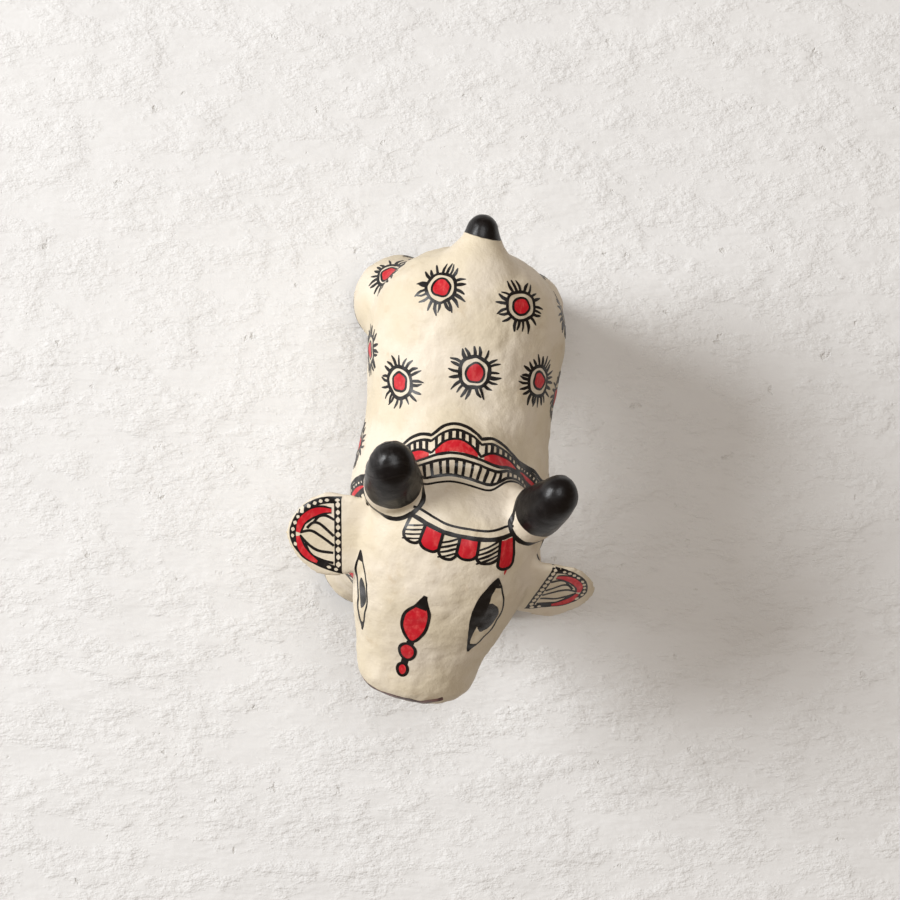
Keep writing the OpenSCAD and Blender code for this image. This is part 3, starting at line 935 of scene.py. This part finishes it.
# Where a horn's black begins above its base, and how long the black is on the tail and on the legs
HORN_COLLAR, TAIL_BLACK, HOOF_BLACK = 3.3, 6.2, 5.5
TAIL_SLOPE = math.radians(15)
tail_way = Vector((0.12, math.cos(TAIL_SLOPE), math.sin(TAIL_SLOPE))).normalized()
finishes = {
    f"horn_{side}": dipped(f"black_horn_{side}", horn_base[side] + way * HORN_COLLAR, way)
    for side, way in horn_way.items()
}
finishes["tail"] = dipped("black_tail_tip", (0, tail_end.y - TAIL_BLACK, TRUNK_MIDDLE.z + 20), tail_way)
hoof = dipped("black_hoof", (0, 0, HOOF_BLACK), (0, 0, -1), 0.45)

skin_mesh, skin_points, skin_faces, skin_vote = make_skin()
normals = skin_normals(skin_mesh)
skin = Skin(skin_points, skin_faces, normals)
owners = [int(skin_vote[f].sum(0).argmax()) for f in skin_faces]
for i, name in enumerate(OUTER):
    mine = [f for f, o in zip(skin_faces, owners) if o == i]
    finish = finishes.get(name, hoof if name.startswith("leg") else cream)
    slot = "black_paint" if name.startswith("horn") else "painted_paper"
    cut_piece(name, mine, skin_points, normals, finish, slot, name[:4] in ("body", "head"))

for name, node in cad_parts.items():
    if name not in OUTER:
        node.data.materials.clear()
        node.data.materials.append(kraft_roll() if name == "neck_collar" else bamboo_cane())

red_paint = red_wash()
face = ray_chart(skin, SKULL, HEAD_WAY, UP)

sun_ink, sun_red = Film(skin, 0.09), Film(skin, 0.06)
paint_suns(skin, sun_ink, sun_red)
sun_ink.piece("sun_lines", black, "black_paint")
sun_red.piece("sun_hearts", red_paint, None)

garland_ink, garland_red = Film(skin, 0.09), Film(skin, 0.06)
paint_garland(skin, garland_ink, garland_red)
garland_ink.piece("garland_lines", black, "black_paint")
garland_red.piece("garland_moons", red_paint, None)

forehead_ink, forehead_red = Film(skin, 0.10), Film(skin, 0.07)
paint_forehead(face, forehead_ink, forehead_red)
paint_headband(face, forehead_ink, forehead_red)
for side in horn_way:
    paint_horn_ring(skin, forehead_ink, horn_base[side], horn_way[side], HORN_RING[side])
forehead_ink.piece("headband_lines", black, "black_paint")
forehead_red.piece("headband_blocks_and_drop", red_paint, None)

eye_films = Film(skin, 0.13), Film(skin, 0.05), Film(skin, 0.09)
paint_eye(face, eye_films, (7.0, 40.0), (31.2, 45.5), -1, 12.5, 11.0, 0.46)
paint_eye(face, eye_films, (11.2, -70), (34.4, -72), -1, 0.5, 10.5, 0.10)
eye_films[0].piece("eye_lids", black, "black_paint")
eye_films[1].piece("eye_whites", eye_white(), None)
eye_films[2].piece("eye_irises", eye_grey(), None)

nose_film, mouth_film = Film(skin, 0.08), Film(skin, 0.09)
muzzle_end = plane_chart(skin, SKULL + HEAD_WAY * 51 + Vector((0, 0, -2)), HEAD_WAY, UP.cross(HEAD_WAY))
paint_nose(face, muzzle_end, nose_film, mouth_film)
nose_film.piece("nose_line", nose_brown(), None)
mouth_film.piece("mouth_and_nostrils", black, "black_paint")

ear_films = Film(skin, 0.08), Film(skin, 0.12), Film(skin, 0.15)
# Each ear's drawing: the middle of its root line, the way the ear faces, and the way it points
right_ear = plane_chart(
    skin, Vector((-26.6, -20.9, 79.1)), Vector((0, -0.276, 0.961)), Vector((-0.994, -0.1, -0.05)))
left_ear = plane_chart(
    skin, Vector((25.6, -28.3, 77.1)), Vector((0, -0.755, 0.656)), Vector((0.97, -0.1, -0.24)))
paint_ear(lambda p: right_ear((p[0] * 0.86, -p[1] * 0.97)), ear_films)
paint_ear(lambda p: left_ear((p[0] * 0.86, p[1] * 0.86 - 1.3)), ear_films)
ear_films[0].piece("ear_lines", black, "black_paint")
ear_films[1].piece("ear_crescents", red_paint, None)
ear_films[2].piece("ear_dots", cream, "painted_paper")

bpy.data.meshes.remove(skin_mesh)
bpy.ops.mesh.primitive_grid_add(x_subdivisions=4, y_subdivisions=4, size=6)
floor = bpy.context.object
floor.name = "floor"
floor.data.materials.append(pale_floor())
